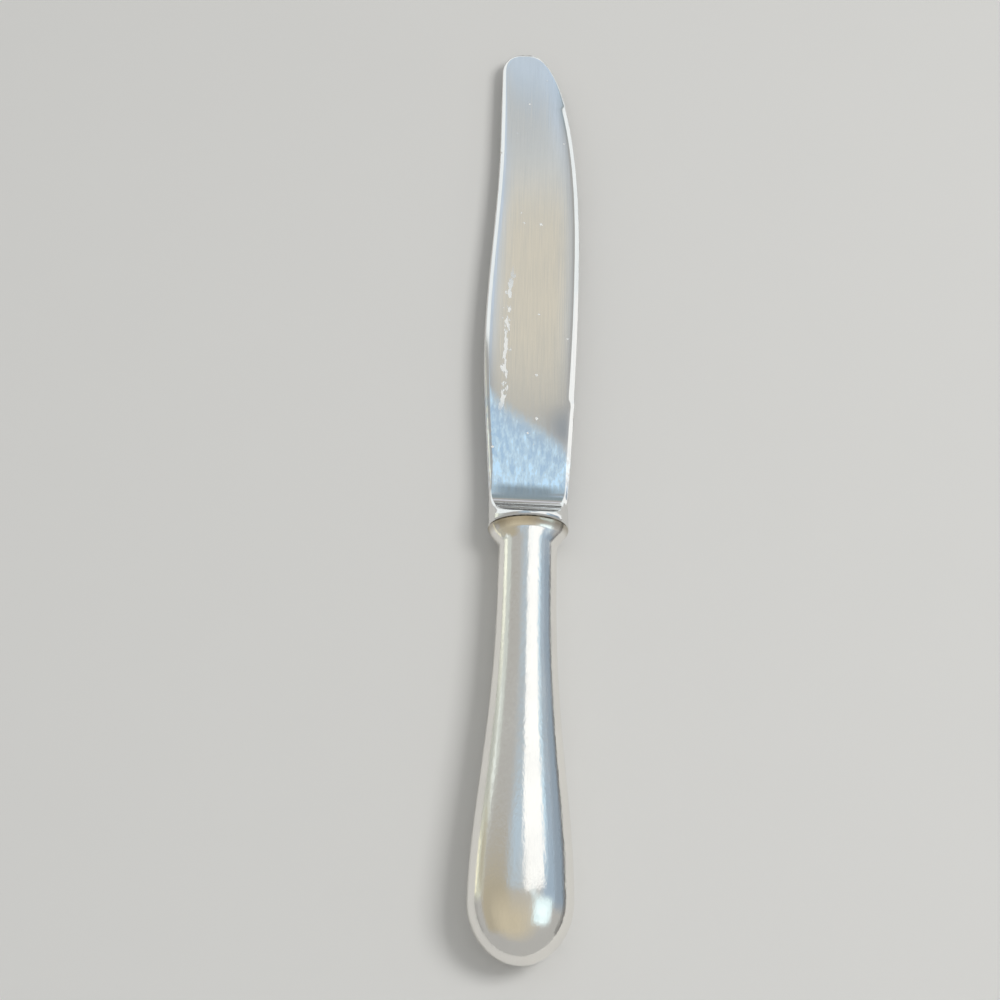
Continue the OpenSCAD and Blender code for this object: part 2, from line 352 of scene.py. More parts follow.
def softenRims(rims):
    # polishing rounds the rim: inner is where the face starts to bend, outer where the bend has ended
    probe = blade["softProbe"]
    loop = list(rims)
    sharp = {at: onForging(*rims[at], 0) for at in loop}
    inner, outer = {}, {}
    for k, at in enumerate(loop):
        before, after = sharp[loop[k - 1]], sharp[loop[(k + 1) % len(loop)]]
        along = Vector((after.x - before.x, after.y - before.y)).normalized()
        rim, target = rims[at]
        fade = smooth((rim[0] - blade["softFrom"]) / blade["softOver"])
        soft = mix(blade["rimSoft"], blade["faceSoft"], fade)
        inner[at] = Vector((sharp[at].x - soft * along.y, sharp[at].y + soft * along.x))
        nearby = (onForging(rim, target, probe) - sharp[at]).length
        outer[at] = min(blade["softLimit"], probe * soft / nearby)
    return sharp, inner, outer


def spreadFace(piece, shares, loop, inner):
    # the grid, from -1 to 1 both ways, becomes the ground face between its rim's four sides
    columns, rows = blade["columns"], len(shares) - 1
    coveSpread, noseSpread = blade["coveSpread"], blade["noseSpread"]
    bpy.ops.object.mode_set(mode="EDIT")
    mesh = bmesh.from_edit_mesh(piece.data)
    rimMark = mesh.verts.layers.int.new("rimMark")
    for vert in mesh.verts:
        i = round((vert.co.x + 1) / 2 * columns)
        j = round((vert.co.y + 1) / 2 * rows)
        u, v = i / columns, shares[j]
        spot = inner[0, j].lerp(inner[columns, j], u)
        low = inner[i, 0] - inner[0, 0].lerp(inner[columns, 0], u)
        top = inner[i, rows] - inner[0, rows].lerp(inner[columns, rows], u)
        spot += low * (1 - smooth(v / coveSpread)) + top * smooth((v - (1 - noseSpread)) / noseSpread)
        vert.co = Vector((spot.x, spot.y, groundZ(spot.x, spot.y))) * mm
        vert[rimMark] = loop.index((i, j)) if (i, j) in inner else -1
    bmesh.update_edit_mesh(piece.data)


def wrapSides(piece, rims, sharp, inner, outer):
    # the face's border goes round the soft rim, then out over the forging to the middle line and the joint
    loop = list(rims)

    def roundRim(at, step):
        x, s = inner[at]
        face = Vector((x, s, groundZ(x, s)))
        side = onForging(*rims[at], outer[at])
        return face.lerp(sharp[at], step).lerp(sharp[at].lerp(side, step), step)

    def goOut(at, step):
        return onForging(*rims[at], mix(outer[at], 1, step))

    bpy.ops.mesh.select_mode(type="EDGE")
    bpy.ops.mesh.select_all(action="SELECT")
    bpy.ops.mesh.region_to_loop()
    moves = [(roundRim, step) for step in blade["softSteps"]]
    moves += [(goOut, step) for step in blade["bandSteps"]]
    for move, step in moves:
        bpy.ops.mesh.extrude_region_move()
        mesh = bmesh.from_edit_mesh(piece.data)
        rimMark = mesh.verts.layers.int["rimMark"]
        for vert in mesh.verts:
            if vert.select:
                vert.co = move(loop[vert[rimMark]], step) * mm
        bmesh.update_edit_mesh(piece.data)
    bpy.ops.mesh.select_all(action="SELECT")
    bpy.ops.mesh.remove_doubles(threshold=blade["weld"] * mm)
    bpy.ops.object.mode_set(mode="OBJECT")


def mirrorFace(piece):
    # the other side is its mirror image
    flip = piece.modifiers.new("otherSide", "MIRROR")
    flip.use_axis = (False, False, True)
    flip.merge_threshold = blade["mirrorWeld"] * mm
    bpy.ops.object.modifier_apply(modifier=flip.name)


def drawTang(piece):
    # close the joint, bevel its rim and draw the tang out of it
    bpy.ops.object.mode_set(mode="EDIT")
    bpy.ops.mesh.select_all(action="DESELECT")
    bpy.ops.mesh.select_non_manifold(extend=False, use_wire=False, use_boundary=True,
                                     use_multi_face=False, use_non_contiguous=False, use_verts=False)
    bpy.ops.mesh.edge_face_add()
    wide, thick = blade["bolsterWidth"] / 2, blade["bolsterThick"] / 2
    inset = blade["jointBevel"]
    bpy.ops.mesh.extrude_region_move(TRANSFORM_OT_translate={"value": (0, -inset * mm, 0)})
    bpy.ops.transform.resize(value=(1 - inset / wide, 1, 1 - inset / thick), center_override=(0, 0, 0))
    bpy.ops.mesh.extrude_region_move()
    mesh = bmesh.from_edit_mesh(piece.data)
    halfWide, halfThick = blade["tangWidth"] / 2 * mm, blade["tangThick"] / 2 * mm
    for vert in mesh.verts:
        if vert.select:     # each point slides in along its ray to the tang's rectangle
            reach = max(abs(vert.co.x) / halfWide, abs(vert.co.z) / halfThick)
            vert.co.x /= reach
            vert.co.z /= reach
    bmesh.update_edit_mesh(piece.data)
    tangEnd = (0, -blade["tangLength"] * mm, 0)
    bpy.ops.mesh.extrude_region_move(TRANSFORM_OT_translate={"value": tangEnd})
    bpy.ops.transform.resize(value=(blade["tangEnd"] / blade["tangWidth"], 1, 1), center_override=tangEnd)
    bpy.ops.mesh.select_all(action="SELECT")
    bpy.ops.mesh.normals_make_consistent(inside=False)
    bpy.ops.object.mode_set(mode="OBJECT")


def makeBlade():
    shares = rowShares()
    rims = findRims(shares)
    sharp, inner, outer = softenRims(rims)
    startClean()
    bpy.ops.mesh.primitive_grid_add(x_subdivisions=blade["columns"], y_subdivisions=len(shares) - 1,
                                    size=2)
    piece = bpy.context.object
    piece.name = piece.data.name = "knife_blade"
    spreadFace(piece, shares, list(rims), inner)
    wrapSides(piece, rims, sharp, inner, outer)
    mirrorFace(piece)
    drawTang(piece)
    smoothShade(piece)
    layOnTable(piece)
    return piece


# Handle: two pressed halves, soldered along the sides

handle = {
    "length": 105.5,         # mouth to end, all in mm
    "collar": (18.1, 11.8),  # width, thickness
    "neck": (13.1, 10.0),
    "bulb": (22.4, 15.0),
    "collarLength": (5.2, 2.3),    # of the collar's flare at the sides and on top
    "endLength": 14.0,
    "swellFrom": 7.5,
    "swellLag": 1.4,
    "mouthBevel": 0.3,
    "wall": 0.6,
    "seam": 0.12,
    "facets": 112,
    "collarRings": 30,
    "swellRings": 64,
    "endRings": 26,
}
widestAt = handle["length"] - handle["endLength"]      # mm behind the mouth, as s is below


def handleSize(s):
    neck, bulb, collar = handle["neck"], handle["bulb"], handle["collar"]
    along = unit((s - handle["swellFrom"]) / (widestAt - handle["swellFrom"]))
    swell = smooth(along ** handle["swellLag"])
    flare = [1 - smooth(s / length) for length in handle["collarLength"]]
    return [mix(neck[k], bulb[k], swell) / 2 + (collar[k] - neck[k]) / 2 * flare[k] for k in (0, 1)]


def handleRings():
    collarEnd = handle["collarLength"][0]
    lip = handle["mouthBevel"]
    mouth = handleSize(0)
    rings = [(0, mouth[0] - lip, mouth[1] - lip), (lip, *mouth)]
    stops = [mix(lip, collarEnd, k / handle["collarRings"]) for k in range(1, handle["collarRings"])]
    stops += [mix(collarEnd, widestAt, k / handle["swellRings"]) for k in range(handle["swellRings"])]
    rings += [(s, *handleSize(s)) for s in stops]
    for k in range(handle["endRings"]):
        q = math.pi / 2 * k / handle["endRings"]
        halves = [size / 2 * math.cos(q) for size in handle["bulb"]]
        rings.append((widestAt + handle["endLength"] * math.sin(q), *halves))
    return rings


def makeHandleSkin():
    rings = handleRings()
    depth = [-(jointGap + ring[0]) * mm for ring in rings]
    startClean()
    bpy.ops.mesh.primitive_circle_add(vertices=handle["facets"], radius=rings[0][1] * mm,
                                      location=(0, depth[0], 0), rotation=(math.pi / 2, 0, 0))
    skin = bpy.context.object
    bpy.ops.object.transform_apply(location=True, rotation=True, scale=True)
    bpy.ops.object.mode_set(mode="EDIT")
    bpy.ops.mesh.select_all(action="SELECT")
    bpy.ops.transform.resize(value=(1, 1, rings[0][2] / rings[0][1]), center_override=(0, depth[0], 0))
    for k in range(1, len(rings)):
        bpy.ops.mesh.extrude_region_move(
            TRANSFORM_OT_translate={"value": (0, depth[k] - depth[k - 1], 0)})
        bpy.ops.transform.resize(
            value=(rings[k][1] / rings[k - 1][1], 1, rings[k][2] / rings[k - 1][2]),
            center_override=(0, depth[k], 0))
    end = -(jointGap + handle["length"]) * mm
    bpy.ops.mesh.extrude_region_move(TRANSFORM_OT_translate={"value": (0, end - depth[-1], 0)})
    bpy.ops.mesh.merge(type="CENTER")
    bpy.ops.mesh.select_all(action="SELECT")
    bpy.ops.mesh.normals_make_consistent(inside=False)
    bpy.ops.object.mode_set(mode="OBJECT")
    return skin


def makeHandleHalf(skin, name, upper):
    takeUp(skin)
    bpy.ops.object.duplicate(linked=False)
    half = bpy.context.object
    half.name = half.data.name = name
    bpy.ops.object.mode_set(mode="EDIT")
    bpy.ops.mesh.select_all(action="SELECT")
    side = 1 if upper else -1
    bpy.ops.mesh.bisect(plane_co=(0, 0, side * handle["seam"] / 2 * mm), plane_no=(0, 0, 1),
                        clear_inner=upper, clear_outer=not upper)
    bpy.ops.object.mode_set(mode="OBJECT")
    wall = half.modifiers.new("pressedWall", "SOLIDIFY")
    wall.thickness = handle["wall"] * mm
    wall.offset = -1
    bpy.ops.object.modifier_apply(modifier=wall.name)
    smoothShade(half)
    layOnTable(half)
    return half


# Finishes

rise = (0, 1)
fall = (1, 0)
mixUnder, mixOver, mixResult = 6, 7, 2      # a Mix node's sockets for colours


def newFinish(name):
    finish = bpy.data.materials.new(name)
    finish.use_nodes = True
    tree = finish.node_tree
    shader = tree.nodes["Principled BSDF"]
    return finish, tree, shader


def addNode(tree, kind, **settings):
    node = tree.nodes.new(kind)
    for key, value in settings.items():
        if key in node.inputs:
            node.inputs[key].default_value = value
        else:
            setattr(node, key, value)
    return node


def objectPlace(tree, stretch=(1, 1, 1), shift=(0, 0, 0)):
    place = addNode(tree, "ShaderNodeTexCoord")
    mapping = addNode(tree, "ShaderNodeMapping", Location=shift, Scale=stretch)
    tree.links.new(place.outputs["Object"], mapping.inputs["Vector"])
    return mapping.outputs["Vector"]


def splitPlace(tree, stretch=(1, 1, 1), shift=(0, 0, 0)):
    split = addNode(tree, "ShaderNodeSeparateXYZ")
    tree.links.new(objectPlace(tree, stretch, shift), split.inputs["Vector"])
    return split.outputs["X"], split.outputs["Y"]


def fromJoint(tree, way):
    # mm across the knife and mm from the joint: way is 1 towards the tip, -1 towards the handle's end
    return splitPlace(tree, (1 / mm, way / mm, 1 / mm), (0, -way * jointPlace.y / mm, 0))


def noiseOn(tree, stretch, detail, rough=0.55, shift=(0, 0, 0)):
    noise = addNode(tree, "ShaderNodeTexNoise", Scale=1, Detail=detail, Roughness=rough)
    tree.links.new(objectPlace(tree, stretch, shift), noise.inputs["Vector"])
    return noise.outputs["Fac"]


def spread(tree, value, span, result=rise):
    node = addNode(tree, "ShaderNodeMapRange")
    for socket, stop in zip(("From Min", "From Max", "To Min", "To Max"), (*span, *result)):
        node.inputs[socket].default_value = stop
    tree.links.new(value, node.inputs["Value"])
    return node.outputs["Result"]


def combine(tree, how, first, second):
    node = addNode(tree, "ShaderNodeMath", operation=how)
    for socket, value in zip(node.inputs, (first, second)):
        if isinstance(value, (int, float)):
            socket.default_value = value
        else:
            tree.links.new(value, socket)
    return node.outputs["Value"]


def between(tree, value, stops):
    # 1 between the two middle stops, fading to 0 at the outer ones
    return combine(tree, "MULTIPLY", spread(tree, value, stops[:2]), spread(tree, value, stops[2:], fall))


def plusShare(tree, value, more, share):
    return combine(tree, "ADD", value, combine(tree, "MULTIPLY", more, share))


def wearFrom(tree, first, second, firstShare):
    return plusShare(tree, combine(tree, "MULTIPLY", first, firstShare), second, 1 - firstShare)


def tint(tree, amount, under, over):
    # under is a colour, or what another tint gave
    node = addNode(tree, "ShaderNodeMix", data_type="RGBA")
    if isinstance(under, tuple):
        node.inputs[mixUnder].default_value = (*under, 1)
    else:
        tree.links.new(under, node.inputs[mixUnder])
    node.inputs[mixOver].default_value = (*over, 1)
    tree.links.new(amount, node.inputs["Factor"])
    return node.outputs[mixResult]


def bumpOn(tree, height, strength, reach, under=None):
    bump = addNode(tree, "ShaderNodeBump", Strength=strength, Distance=reach * mm)
    tree.links.new(height, bump.inputs["Height"])
    if under:
        tree.links.new(under, bump.inputs["Normal"])
    return bump.outputs["Normal"]


def dress(piece, finish):
    if piece.material_slots:
        for slot in piece.material_slots:
            slot.link = "OBJECT"
            slot.material = finish
    else:
        piece.data.materials.append(finish)


bladeLook = {
    "steel": (0.82, 0.81, 0.79),
    "dull": (0.75, 0.75, 0.74),
    "dullSpan": (0.4, 0.66),         # of the wear
    "roughness": (0.05, 0.1),
    "roughSpan": (0.36, 0.66),
    "grainWidth": 0.3,               # mm
    "grainLength": 24.0,
    "grain": {"detail": 2},
    "grainShare": 0.55,              # of the wear, and the clouds have the rest
    "grainBump": (0.02, 0.1),        # strength, and mm
    "cloud": {"stretch": (70, 45, 70), "detail": 4, "rough": 0.6},
    "hairTimes": (2.5, 2.0),         # hairlines are finer than the grain, across and along
    "hair": {"detail": 1, "shift": (3, 1, 2)},
    "hairShare": 0.5,
    "paintedSkyTint": (0.6, 0.66, 0.73),       # painted bluish reflection of a window, in blotches by the bolster, where the steel is also hazier
    "hazeAndSkyTintSpan": (0.46, 0.6),
    "paintedSkyBright": (0.86, 0.92, 0.97),    # and a painted bright reflection between them
    "paintedSkyBrightSpan": (0.36, 0.46),
    "blotch": {"stretch": (900, 260, 900), "detail": 5, "rough": 0.65, "shift": (5, 2, 1)},
    "hazeRoughness": 0.1,
    "hazeAndSkyTintReach": (8, 11, 25, 30),    # mm from the joint
    "hazeAndSkyTintSlant": 0.86,               # its end lies this much nearer per mm across
    "hazeAndSkyTintShift": 0.05,               # the painted bright takes over from the painted tint towards the bolster
    "hazeAndSkyTintShiftReach": (11, 26),
    "lime": (0.92, 0.92, 0.9),
    "limeRoughness": 0.5,
    "limeCover": 0.85,
    "ragged": {"stretch": (1100, 330, 1100), "detail": 3, "shift": (2, 7, 4)},
    "tideFrom": (35, -6.3),          # dried water left a ragged line: mm from the joint and across, here
    "tideTo": (97, -0.2),            # to here
    "tideClimb": 3,
    "tideBend": {"stretch": (0, 150, 0), "detail": 2, "shift": (0, 6, 0)},
    "tideWave": 3.4,                 # mm
    "tideHalfWidth": 1.5,
    "tideSpan": (0.42, 0.72),
    "tideSoft": 0.25,
    "tideReach": (30, 35, 62, 74),
    "dropCell": 4.5,                 # mm between dried drops, and their size
    "dropSize": 0.36,
    "dropCore": 0.6,
    "dropRag": 0.5,
    "dropSpan": (0.3, 0.7),
    "dropReach": (11, 14, 134, 138),
}


# a hazier, rougher patch by the bolster, with a painted bluish reflection and painted bright blotches over
# it
def hazeAndPaintedSky(tree, across, along):
    look = bladeLook
    shift = spread(tree, along, look["hazeAndSkyTintShiftReach"], (-look["hazeAndSkyTintShift"], look["hazeAndSkyTintShift"]))
    blotch = combine(tree, "ADD", noiseOn(tree, **look["blotch"]), shift)
    slanted = plusShare(tree, along, across, look["hazeAndSkyTintSlant"])
    near = combine(tree, "MULTIPLY", spread(tree, along, look["hazeAndSkyTintReach"][:2]),
                   spread(tree, slanted, look["hazeAndSkyTintReach"][2:], fall))
    hazeAndSkyTint = combine(tree, "MULTIPLY", spread(tree, blotch, look["hazeAndSkyTintSpan"]), near)
    paintedSkyBright = combine(tree, "MULTIPLY", spread(tree, blotch, look["paintedSkyBrightSpan"], fall), near)
    return hazeAndSkyTint, paintedSkyBright


def tideLine(tree, across, along, ragged):
    # a wavy, broken line of lime where water dried
    look = bladeLook
    (nearEnd, nearOff), (farEnd, farOff) = look["tideFrom"], look["tideTo"]
    halfWave = look["tideWave"] / 2
    wave = spread(tree, noiseOn(tree, **look["tideBend"]), rise, (nearOff - halfWave, nearOff + halfWave))
    climb = combine(tree, "POWER", spread(tree, along, (nearEnd, farEnd)), look["tideClimb"])
    middle = plusShare(tree, wave, climb, farOff - nearOff)
    off = combine(tree, "ABSOLUTE", combine(tree, "SUBTRACT", across, middle), 0)
    halfWidth = spread(tree, ragged, look["tideSpan"], (0, look["tideHalfWidth"]))
    line = spread(tree, combine(tree, "SUBTRACT", off, halfWidth), (-look["tideSoft"], 0), fall)
    return combine(tree, "MULTIPLY", line, between(tree, along, look["tideReach"]))


def driedDrops(tree, along, ragged):
    look = bladeLook
    cells = addNode(tree, "ShaderNodeTexVoronoi", Scale=1 / (look["dropCell"] * mm), Randomness=1)
    tree.links.new(objectPlace(tree), cells.inputs["Vector"])
    size = look["dropSize"] / look["dropCell"]
    rag = spread(tree, ragged, look["dropSpan"], (-look["dropRag"], look["dropRag"]))
    off = plusShare(tree, cells.outputs["Distance"], rag, size)
    drop = spread(tree, off, (look["dropCore"] * size, size), fall)
    return combine(tree, "MULTIPLY", drop, between(tree, along, look["dropReach"]))


def satinSteel():
    look = bladeLook
    finish, tree, shader = newFinish("satin_steel")
    links = tree.links
    across, along = fromJoint(tree, 1)
    wide, long = 1 / (look["grainWidth"] * mm), 1 / (look["grainLength"] * mm)
    finer, shorter = look["hairTimes"]
    grain = noiseOn(tree, (wide, long, wide), **look["grain"])
    hair = noiseOn(tree, (wide * finer, long * shorter, wide * finer), **look["hair"])
    wear = wearFrom(tree, grain, noiseOn(tree, **look["cloud"]), look["grainShare"])
    hazeAndSkyTint, paintedSkyBright = hazeAndPaintedSky(tree, across, along)
    ragged = noiseOn(tree, **look["ragged"])
    lime = combine(tree, "MAXIMUM", tideLine(tree, across, along, ragged), driedDrops(tree, along, ragged))

    rough = spread(tree, wear, look["roughSpan"], look["roughness"])
    rough = plusShare(tree, rough, hazeAndSkyTint, look["hazeRoughness"])
    links.new(plusShare(tree, rough, lime, look["limeRoughness"]), shader.inputs["Roughness"])
    metal = tint(tree, spread(tree, wear, look["dullSpan"]), look["steel"], look["dull"])
    # painted reflection by the bolster: a bright blotchy share and a bluish tint
    metal = tint(tree, paintedSkyBright, metal, look["paintedSkyBright"])
    metal = tint(tree, hazeAndSkyTint, metal, look["paintedSkyTint"])
    links.new(tint(tree, lime, metal, look["lime"]), shader.inputs["Base Color"])
    cover = combine(tree, "MULTIPLY", lime, look["limeCover"])
    links.new(combine(tree, "SUBTRACT", 1, cover), shader.inputs["Metallic"])
    relief = plusShare(tree, grain, hair, look["hairShare"])
    links.new(bumpOn(tree, relief, *look["grainBump"]), shader.inputs["Normal"])
    return finish


handleLook = {
    "silver": (0.94, 0.92, 0.88),
    "breath": (0.87, 0.85, 0.82),    # where handling left a film
    "breathSpan": (0.45, 0.72),      # of the wear
    "roughness": (0.1, 0.19),
    "roughSpan": (0.42, 0.68),
    "smudge": {"stretch": (110, 60, 110), "detail": 5, "rough": 0.62},
    "smudgeShare": 0.8,              # of the wear, and the scratches have the rest
    "scratch": {"stretch": (4000, 300, 4000), "detail": 2, "shift": (1, 4, 2)},
    "scratchBump": (0.03, 0.1),      # strength, and mm
    "dent": {"stretch": (1300, 520, 1300), "detail": 2, "rough": 0.6, "shift": (2, 9, 4)},
    "dentBump": (0.09, 0.3),         # knocks and rubbing, about a millimetre apart
    "wave": {"stretch": (170, 90, 170), "detail": 1, "shift": (6, 2, 3)},
    "waveBump": (0.03, 1.0),         # unevenness left by the polishing wheel
    "tarnish": (0.44, 0.39, 0.31),   # beside the joint, where a cloth can't reach
    "tarnishReach": (1.1, 2.4),      # mm behind the joint
    "tarnishCover": 0.85,
    "tarnishSpan": (0.3, 0.6),       # it is thinner where the smudges are weak
    "tarnishThin": 0.5,
}


def silverPlate():
    look = handleLook
    finish, tree, shader = newFinish("silver_plate")
    links = tree.links
    behind = fromJoint(tree, -1)[1]
    smudge, scratch = noiseOn(tree, **look["smudge"]), noiseOn(tree, **look["scratch"])
    dent, wave = noiseOn(tree, **look["dent"]), noiseOn(tree, **look["wave"])
    wear = wearFrom(tree, smudge, scratch, look["smudgeShare"])
    links.new(spread(tree, wear, look["roughSpan"], look["roughness"]), shader.inputs["Roughness"])
    metal = tint(tree, spread(tree, wear, look["breathSpan"]), look["silver"], look["breath"])
    dark = combine(tree, "MULTIPLY", spread(tree, behind, look["tarnishReach"], (look["tarnishCover"], 0)),
                   spread(tree, smudge, look["tarnishSpan"], (look["tarnishThin"], 1)))
    links.new(tint(tree, dark, metal, look["tarnish"]), shader.inputs["Base Color"])
    relief = bumpOn(tree, scratch, *look["scratchBump"])
    relief = bumpOn(tree, dent, *look["dentBump"], under=relief)
    relief = bumpOn(tree, wave, *look["waveBump"], under=relief)
    links.new(relief, shader.inputs["Normal"])
    shader.inputs["Metallic"].default_value = 1
    return finish


solderLook = {
    "bright": (0.24, 0.21, 0.16),
    "tarnish": (0.05, 0.042, 0.03),
    "brightSpan": (0.4, 0.62),       # of the blotches
    "roughness": (0.35, 0.6),
    "roughSpan": (0.3, 0.7),
    "metallic": 0.8,
    "blotch": {"stretch": (900, 900, 900), "detail": 4},
}


def tarnishedSolder():
    look = solderLook
    finish, tree, shader = newFinish("tarnished_solder")
    blotch = noiseOn(tree, **look["blotch"])
    metal = tint(tree, spread(tree, blotch, look["brightSpan"]), look["tarnish"], look["bright"])
    tree.links.new(metal, shader.inputs["Base Color"])
    tree.links.new(spread(tree, blotch, look["roughSpan"], look["roughness"]), shader.inputs["Roughness"])
    shader.inputs["Metallic"].default_value = look["metallic"]
    return finish


cementLook = {
    "pale": (0.6, 0.52, 0.42),
    "dark": (0.42, 0.35, 0.27),
    "paleSpan": (0.35, 0.65),        # of the grit
    "roughness": 0.9,
    "grit": {"stretch": (1400, 1400, 1400), "detail": 6, "rough": 0.7},
    "gritBump": (0.3, 0.3),          # strength, and mm
}


def handleCement():
    look = cementLook
    finish, tree, shader = newFinish("handle_cement")
    grit = noiseOn(tree, **look["grit"])
    cement = tint(tree, spread(tree, grit, look["paleSpan"]), look["dark"], look["pale"])
    tree.links.new(cement, shader.inputs["Base Color"])
    tree.links.new(bumpOn(tree, grit, *look["gritBump"]), shader.inputs["Normal"])
    shader.inputs["Roughness"].default_value = look["roughness"]
    return finish


# Floor

floorLook = {
    "size": 6,
    "pale": (0.82, 0.82, 0.81),
    "shade": 0.985,          # of the pale, where the paper is darkest
    "mottle": {"stretch": (40, 40, 40), "detail": 5},
    "roughness": 0.9,
    "shine": 0.1,
}


def makeFloor():
    look = floorLook
    startClean()
    bpy.ops.mesh.primitive_plane_add(size=look["size"])
    floor = bpy.context.object
    floor.name = "floor"
    finish, tree, shader = newFinish("floor_paper")
    shaded = tuple(look["shade"] * c for c in look["pale"])
    paper = tint(tree, noiseOn(tree, **look["mottle"]), shaded, look["pale"])
    tree.links.new(paper, shader.inputs["Base Color"])
    shader.inputs["Roughness"].default_value = look["roughness"]
    shader.inputs["Specular IOR Level"].default_value = look["shine"]
    dress(floor, finish)


# Light: a room, one lamp, and boards that only mirrors see

roomColour = (0.45, 0.45, 0.44)
keyPanel = {
    "place": (0.87, -0.06, 1.2),
    "turn": (0, 35, 0),
    "size": (0.6, 0.6),
    "light": 7.8,            # what it adds in a mirror, where 1 is white
    "colour": (1.0, 0.99, 0.97),
}
level, sideways, upright, alongside = (0, 0, 0), (0, 90, 0), (90, 0, 0), (90, 0, 90)
panelWhite, rimWhite = (1.1, 1.12, 1.12), (1.02, 1.08, 1.1)

# place, turn in degrees, size, colour in a mirror, and the share of the size over which it fades out
handleBoards = {
    "overhead_glow": ((0.485, 0.73, 1.2), (0, 0, 21), (0.86, 0.5), panelWhite, 0.02),
    "cool_left": ((-0.1, 0.62, 1.22), level, (0.86, 0.5), (0.48, 0.6, 0.71), 0.35),
    "cool_edge": ((1.0, 0.93, 1.205), (0, 0, 21), (0.5, 0.46), (0.6, 0.8, 0.95), 0.35),
    "cool_right": ((1.23, 0.7, 1.15), (0, 47, 0), (1.2, 1.3), (0.36, 0.46, 0.57), 0.25),
    "right_glow": ((1.3, 0.6, 0.46), sideways, (0.9, 1.3), (0.29, 0.36, 0.44), 0.25),
    "neck_glow": ((-0.15, 0.078, 0.034), sideways, (0.056, 0.09), (1.0, 1.04, 0.92), 0.3),
    "neck_side": ((-0.153, 0.072, 0.088), sideways, (0.08, 0.09), (0.6, 0.64, 0.61), 0.25),
    "waist_glow": ((-0.151, 0.03, 0.074), sideways, (0.05, 0.05), (0.8, 0.86, 0.83), 0.3),
    "waist_shade": ((-0.152, 0.025, 0.033), sideways, (0.05, 0.06), (0.47, 0.5, 0.47), 0.3),
    "bulb_glow": ((-0.15, -0.03, 0.011), sideways, (0.022, 0.05), (1.0, 0.98, 0.76), 0.25),
    "bulb_shade": ((-0.151, -0.017, 0.053), sideways, (0.05, 0.07), (0.47, 0.45, 0.36), 0.3),
    "left_glow": ((-1.3, 0.65, 0.18), sideways, (0.96, 0.9), (0.72, 0.74, 0.62), 0.35),
    "warm_side": ((-1.1, 0.0, 1.27), (0, -41, 0), (1.9, 2.1), (0.44, 0.4, 0.31), 0.15),
    "warm_end": ((-0.3, -0.4, 1.15), level, (2.4, 1.9), (0.6, 0.54, 0.41), 0.4),
    "key_glow": ((0.61, -0.07, 0.84), (0, 35, 0), (0.75, 0.71), (0.7, 0.88, 0.93), 0.22),
    "stripe_end": ((0.42, 0.36, 1.19), level, (0.36, 0.3), (0.72, 0.84, 0.9), 0.4),
}
bladeBoards = {
    "cool_face": ((-0.03, 1.135, 1.21), level, (0.5, 0.43), (0.65, 0.75, 0.87), 0.15),
    "warm_face": ((0.1, 1.02, 1.2), level, (0.2, 0.36), (0.75, 0.71, 0.61), 0.3),
    "nose_glow": ((0.1, 1.3, 1.19), level, (0.3, 0.1), (0.65, 0.81, 1.0), 0.12),
    "nose_shade": ((0.06, 1.196, 1.195), level, (0.16, 0.132), (0.61, 0.64, 0.65), 0.23),
    "tip_glow": ((0.0125, 0.1725, 0.03), level, (0.065, 0.047), rimWhite, 0.1),
    "tip_side_glow": ((0.0255, 0.142, 0.031), (0, 0, 18), (0.03, 0.05), rimWhite, 0.1),
    "base_patch": ((0, 0.0687, 0.1), (0, 0, -33.4), (0.07, 0.023), (0.63, 0.83, 0.99), 0),
    "patch_shade": ((0.02, 0.078, 0.101), level, (0.02, 0.022), (0.36, 0.39, 0.42), 0.4),
    "cove_card": ((0.0, -0.0046, 0.012), level, (0.023, 0.005), (0.3, 0.38, 0.44), 0.3),
    "heel_glow": ((0.1, 0.105, 0.082), (0, 50, 0), (0.17, 0.07), panelWhite, 0),
    "cove_shade": ((0.1, 1.5, 1.17), upright, (0.5, 0.66), (0.3, 0.37, 0.4), 0),
    "horizon_glow": ((0, 1.9, 0.72), upright, (1.6, 0.16), (0.84, 0.86, 0.95), 0.2),
}
# parts of a round board across the knife's length, between two angles from straight up
fanForm = {"distance": 1.5, "radius": 1.95, "facets": 96, "colour": rimWhite}
fans = {"spine_fan": (-89, -13), "edge_fan": (15, 89)}
# black boards that give the polished metal a dark side: how dark, and from where up they fade
flags = {
    "left_flag": ((-0.42, 0.0, 0.045), alongside, (0.5, 0.09), 0.25, -0.5),
    "right_flag": ((0.42, 0.0, 0.06), alongside, (0.5, 0.12), 0.75, -0.5),
    "far_flag": ((0.02, 0.62, 0.085), upright, (0.15, 0.17), 0.85, -0.1),
}
flagLook = {"black": (0.02, 0.02, 0.02), "roughness": 0.9}
boardEdge = 0.5          # a board is 1 wide in its own coordinates


def addPanel(name, place, turn, size, light, colour):
    lamp = bpy.data.lights.new(name, "AREA")
    lamp.shape = "RECTANGLE"
    lamp.size, lamp.size_y = size
    lamp.energy = light * math.pi * size[0] * size[1]
    lamp.color = colour
    panel = bpy.data.objects.new(name, lamp)
    bpy.context.scene.collection.objects.link(panel)
    panel.location = place
    panel.rotation_euler = [math.radians(degrees) for degrees in turn]
    panel.visible_camera = False


def addBoard(name, place, turn, size):
    startClean()
    bpy.ops.mesh.primitive_plane_add(size=1, location=place)
    board = bpy.context.object
    board.name = name
    board.scale = (*size, 1)
    board.rotation_euler = [math.radians(degrees) for degrees in turn]
    return board


def forMirrors(board):
    board.visible_camera = board.visible_shadow = board.visible_diffuse = False


